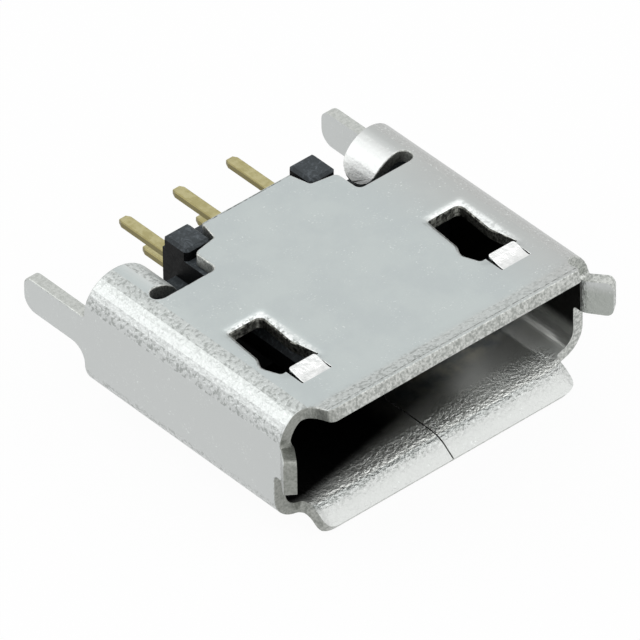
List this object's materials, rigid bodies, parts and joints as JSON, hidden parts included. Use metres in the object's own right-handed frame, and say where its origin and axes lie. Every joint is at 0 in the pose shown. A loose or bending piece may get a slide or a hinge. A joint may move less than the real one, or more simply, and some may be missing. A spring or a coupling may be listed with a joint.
{
  "type": "usb socket",
  "caption": "Upright through-hole micro usb socket: folded metal shell with flared mouth, side tabs, curled ears and board legs round a black insulator with a row of gold contacts.",
  "frame": {"origin": "middle of the underside of the whole part's bounding box, as it lies in the picture", "axes": "+X across the mouth along the row of contacts, +Y from the mouth towards the board legs and tails, +Z out of the side with the latch windows"},
  "size_m": [0.008, 0.0078, 0.003],
  "materials": {
    "shell": "satin plated sheet steel",
    "insulator": "matte moulded polymer",
    "contacts": "gold plated copper alloy"
  },
  "bodies": {
    "root": {"shell": "shell", "insulator": "insulator", "contact_1": "contacts", "contact_2": "contacts", "contact_3": "contacts", "contact_4": "contacts", "contact_5": "contacts"}
  },
  "joints": []
}
